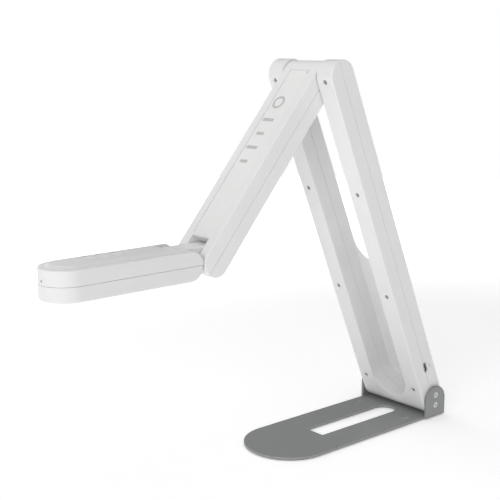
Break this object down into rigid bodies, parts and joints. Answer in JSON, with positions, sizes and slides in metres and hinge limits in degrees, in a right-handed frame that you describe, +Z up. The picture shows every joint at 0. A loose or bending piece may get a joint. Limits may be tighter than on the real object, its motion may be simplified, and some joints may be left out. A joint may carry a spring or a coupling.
{
  "type": "folding document camera",
  "caption": "Folding document camera: flat steel base, U-shaped lower arm, middle arm that folds into it, short link and a slim head with keys, lamp and downward lens.",
  "frame": {"origin": "underside of the foot pad, straight below the base hinge axis, on the centre plane", "axes": "+Z up, +Y towards the rear of the base, the head reaching over the table to -Y, +X to the side with the USB-C port"},
  "size_m": [0.0846, 0.4056, 0.3377],
  "materials": {
    "base_paint": "fine matt powder coat",
    "foot_rubber": "matt",
    "white_plastic": "fine moulded grain",
    "inlay_plastic": "fine moulded grain",
    "steel": "turned and rolled",
    "screw_steel": "dark zinc",
    "bronze": "turned",
    "board": "solder mask",
    "chip": "matt",
    "cable_rubber": "satin",
    "light_pipe": "frosted",
    "led": "gloss",
    "black_plastic": "satin",
    "glass": "polished"
  },
  "bodies": {
    "base": {"base_plate": "base_paint", "base_foot_pad": "foot_rubber", "plate_nut_plates": "steel", "base_plate_screws": "screw_steel", "ear_screws": "screw_steel", "base_hinge_hub_left": "steel", "base_hinge_hub_right": "steel"},
    "lower_arm": {"lower_front_shell": "white_plastic", "lower_rear_shell": "white_plastic", "lower_arm_screws": "screw_steel", "lower_spine_left": "steel", "lower_spine_right": "steel", "base_friction_sleeve_left": "steel", "base_friction_sleeve_right": "steel", "knee_shaft_left": "steel", "knee_shaft_right": "steel", "main_board": "board", "usb_c_port": "steel", "video_processor": "chip", "lower_arm_cable": "cable_rubber"},
    "middle_arm": {"middle_front_shell": "white_plastic", "middle_rear_shell": "white_plastic", "middle_arm_screws": "screw_steel", "middle_inlay_panel": "inlay_plastic", "status_light_pipe": "light_pipe", "middle_spine_left": "steel", "middle_spine_right": "steel", "knee_bush_left": "bronze", "knee_bush_right": "bronze", "elbow_pin": "steel"},
    "link": {"elbow_link": "white_plastic", "elbow_bushes": "bronze", "head_bushes": "bronze"},
    "head": {"head_top_cover": "white_plastic", "head_bottom_cover": "white_plastic", "head_screws": "screw_steel", "key_board": "board", "key_switches": "chip", "camera_board": "board", "image_sensor": "chip", "lamp_board": "board", "lamp_leds": "led", "microphone": "chip", "lens_bezel": "black_plastic", "lens_window": "glass", "lens_barrel": "black_plastic", "lens_front_element": "glass", "lens_rear_element": "glass", "lamp_diffuser": "light_pipe", "head_pin": "steel", "head_hinge_plate_left": "steel", "head_hinge_plate_right": "steel"},
    "light_key": {"light_key": "white_plastic"},
    "focus_key": {"focus_key": "white_plastic"},
    "rotate_key": {"rotate_key": "white_plastic"}
  },
  "joints": [
    {"name": "base_tilt", "type": "hinge", "parent": "base", "child": "lower_arm", "pos_m": [0, 0, 0.0173], "axis": [1, 0, 0], "range_deg": [-28, 67.1]},
    {"name": "knee", "type": "hinge", "parent": "lower_arm", "child": "middle_arm", "pos_m": [0, -0.1297, 0.32433], "axis": [1, 0, 0], "range_deg": [-117.4, 62.6]},
    {"name": "elbow", "type": "hinge", "parent": "middle_arm", "child": "link", "pos_m": [0, -0.24819, 0.18161], "axis": [1, 0, 0], "range_deg": [-39.7, 50.3]},
    {"name": "head_tilt", "type": "hinge", "parent": "link", "child": "head", "pos_m": [0, -0.27319, 0.18161], "axis": [-1, 0, 0], "range_deg": [-90, 0]},
    {"name": "light_key_press", "type": "slide", "parent": "head", "child": "light_key", "axis": [0, 0, -1], "range_m": [0, 0.0004], "stiffness_N_per_m": 3000, "springref_m": -0.0002},
    {"name": "focus_key_press", "type": "slide", "parent": "head", "child": "focus_key", "axis": [0, 0, -1], "range_m": [0, 0.0004], "stiffness_N_per_m": 3000, "springref_m": -0.0002},
    {"name": "rotate_key_press", "type": "slide", "parent": "head", "child": "rotate_key", "axis": [0, 0, -1], "range_m": [0, 0.0004], "stiffness_N_per_m": 3000, "springref_m": -0.0002}
  ]
}
